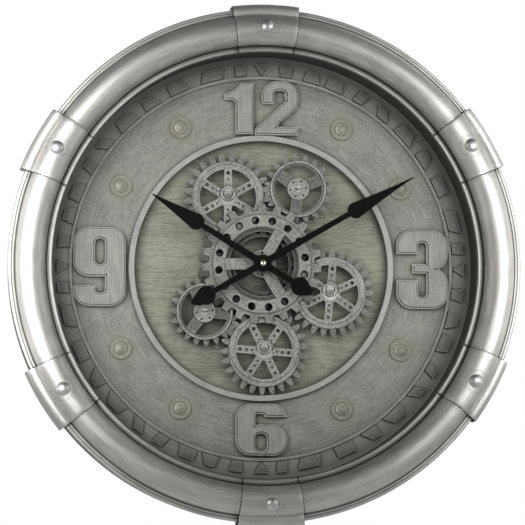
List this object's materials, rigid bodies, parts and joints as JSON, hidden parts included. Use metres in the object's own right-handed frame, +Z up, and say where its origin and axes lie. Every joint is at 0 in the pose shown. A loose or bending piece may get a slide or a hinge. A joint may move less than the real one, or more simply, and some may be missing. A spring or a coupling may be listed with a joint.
{
  "type": "wall clock",
  "caption": "Open-front round wall clock: a half-round metal rim with riveted straps, a sunk dial with raised numerals, and a window of turning gears behind black spade hands.",
  "frame": {"origin": "on the wall plane, behind the centre of the round rim", "axes": "+Z up, the dial faces -Y, +Y into the wall, +X to the viewer's right"},
  "size_m": [0.6, 0.0956, 0.6107],
  "materials": {
    "rim_metal": "antique silver, brushed round the rim and worn dark by the straps",
    "strap_metal": "antique silver, brushed, with bright edges",
    "rivet_metal": "bright domed heads",
    "drum_metal": "dark grey-green paint, slightly worn",
    "back_board": "dark board",
    "screw_metal": "plain plated screws",
    "hanger_metal": "zinc plated",
    "dial_metal": "grey-green, mottled and streaked",
    "band_plastic": "pewter grey with light edges",
    "window_metal": "pale silver",
    "numeral_plastic": "brushed pale pewter",
    "washer_plastic": "pewter, slightly beige",
    "dome_plastic": "pewter, slightly beige",
    "plate_metal": "champagne grey with fine level streaks",
    "pillar_metal": "plain turned",
    "brass_turned": "plain turned brass",
    "nut_metal": "pewter grey hexagon",
    "gear_plastic": "pewter coloured, light edges",
    "ring_plastic": "lighter pewter, light edges",
    "bearing_metal": "plain steel",
    "hand_metal": "matt black paint",
    "cap_metal": "bright nickel",
    "movement_plastic": "dark brown",
    "coil_wire": "enamelled copper wire",
    "motion_plastic": "natural plastic wheels",
    "knob_plastic": "black",
    "cell_metal": "plain wrapped dry cells with bright ends",
    "motor_metal": "grey motor can and gearbox",
    "box_plastic": "black",
    "switch_plastic": "dark red"
  },
  "bodies": {
    "case": {"rim_ring": "rim_metal", "rim_straps": "strap_metal", "strap_rivets": "rivet_metal", "side_drum": "drum_metal", "well_wall": "drum_metal", "back_panel": "back_board", "panel_screws": "screw_metal", "hanger_plate": "hanger_metal", "dial_plate": "dial_metal", "block_band": "band_plastic", "window_ring": "window_metal", "numeral_12": "numeral_plastic", "numeral_3": "numeral_plastic", "numeral_6": "numeral_plastic", "numeral_9": "numeral_plastic", "stud_washers": "washer_plastic", "stud_domes": "dome_plastic", "gear_plate": "plate_metal", "plate_pillars": "pillar_metal", "centre_sleeve": "brass_turned", "bush_nut": "nut_metal", "gear_posts": "pillar_metal", "post_screws": "screw_metal", "plate_bearing": "brass_turned", "movement_case": "movement_plastic", "movement_cover": "movement_plastic", "stepper_coil": "coil_wire", "dry_cells": "cell_metal", "gear_motor": "motor_metal", "battery_box": "box_plastic"},
    "centre_gears": {"centre_hub": "gear_plastic", "rear_wheel": "gear_plastic", "lower_centre_gear": "gear_plastic", "upper_centre_gear": "gear_plastic", "front_wheel": "ring_plastic", "centre_ring": "ring_plastic"},
    "gear_1_body": {"gear_1": "gear_plastic", "gear_1_ring": "ring_plastic", "gear_1_bearing": "bearing_metal"},
    "gear_2_body": {"gear_2": "gear_plastic", "gear_2_ring": "ring_plastic", "gear_2_shaft": "bearing_metal"},
    "gear_3_body": {"gear_3": "gear_plastic", "gear_3_ring": "ring_plastic", "gear_3_bearing": "bearing_metal"},
    "gear_4_body": {"gear_4": "gear_plastic", "gear_4_ring": "ring_plastic", "gear_4_bearing": "bearing_metal"},
    "gear_5_body": {"gear_5": "gear_plastic", "gear_5_ring": "ring_plastic", "gear_5_shaft": "bearing_metal"},
    "minute_body": {"minute_hand": "hand_metal", "cap_nut": "cap_metal", "minute_arbor": "brass_turned"},
    "hour_body": {"hour_hand": "hand_metal", "hour_pipe": "motion_plastic"},
    "reversing_body": {"reversing_wheel": "motion_plastic"},
    "knob_body": {"setting_knob": "knob_plastic"},
    "switch_body": {"motor_switch": "switch_plastic"}
  },
  "joints": [
    {"name": "centre_gear_spin", "type": "hinge", "parent": "case", "child": "centre_gears", "pos_m": [0, 0, 0.0045], "axis": [0, 1, 0], "continuous": true},
    {"name": "gear_1_spin", "type": "hinge", "parent": "case", "child": "gear_1_body", "pos_m": [-0.03968, 0, 0.08237], "axis": [0, 1, 0], "continuous": true},
    {"name": "gear_2_spin", "type": "hinge", "parent": "case", "child": "gear_2_body", "pos_m": [0.04322, 0, 0.09314], "axis": [0, 1, 0], "continuous": true},
    {"name": "gear_3_spin", "type": "hinge", "parent": "case", "child": "gear_3_body", "pos_m": [0.08081, 0, -0.02881], "axis": [0, 1, 0], "continuous": true},
    {"name": "gear_4_spin", "type": "hinge", "parent": "case", "child": "gear_4_body", "pos_m": [0.00316, 0, -0.09721], "axis": [0, 1, 0], "continuous": true},
    {"name": "gear_5_spin", "type": "hinge", "parent": "case", "child": "gear_5_body", "pos_m": [-0.06695, 0, -0.05168], "axis": [0, 1, 0], "continuous": true},
    {"name": "minute_hand_turn", "type": "hinge", "parent": "case", "child": "minute_body", "pos_m": [0, 0, 0.0045], "axis": [0, 1, 0], "continuous": true},
    {"name": "hour_hand_turn", "type": "hinge", "parent": "case", "child": "hour_body", "pos_m": [0, 0, 0.0045], "axis": [0, 1, 0], "continuous": true},
    {"name": "reversing_wheel_turn", "type": "hinge", "parent": "case", "child": "reversing_body", "pos_m": [0.00849, 0, 0.01299], "axis": [0, 1, 0], "continuous": true},
    {"name": "setting_knob_turn", "type": "hinge", "parent": "case", "child": "knob_body", "pos_m": [0.00849, 0, 0.02499], "axis": [0, 1, 0], "continuous": true},
    {"name": "motor_switch_slide", "type": "slide", "parent": "case", "child": "switch_body", "axis": [1, 0, 0], "range_m": [0, 0.003]}
  ],
  "couplings": [
    {"joint": "gear_1_spin", "follows": "centre_gear_spin", "ratio": -0.84},
    {"joint": "gear_3_spin", "follows": "centre_gear_spin", "ratio": -0.84},
    {"joint": "gear_2_spin", "follows": "centre_gear_spin", "ratio": 1.1053},
    {"joint": "gear_5_spin", "follows": "centre_gear_spin", "ratio": -1.4211},
    {"joint": "gear_4_spin", "follows": "centre_gear_spin", "ratio": 1.08},
    {"joint": "hour_hand_turn", "follows": "minute_hand_turn", "ratio": 0.083333},
    {"joint": "reversing_wheel_turn", "follows": "minute_hand_turn", "ratio": -0.33333},
    {"joint": "setting_knob_turn", "follows": "minute_hand_turn", "ratio": 1}
  ]
}
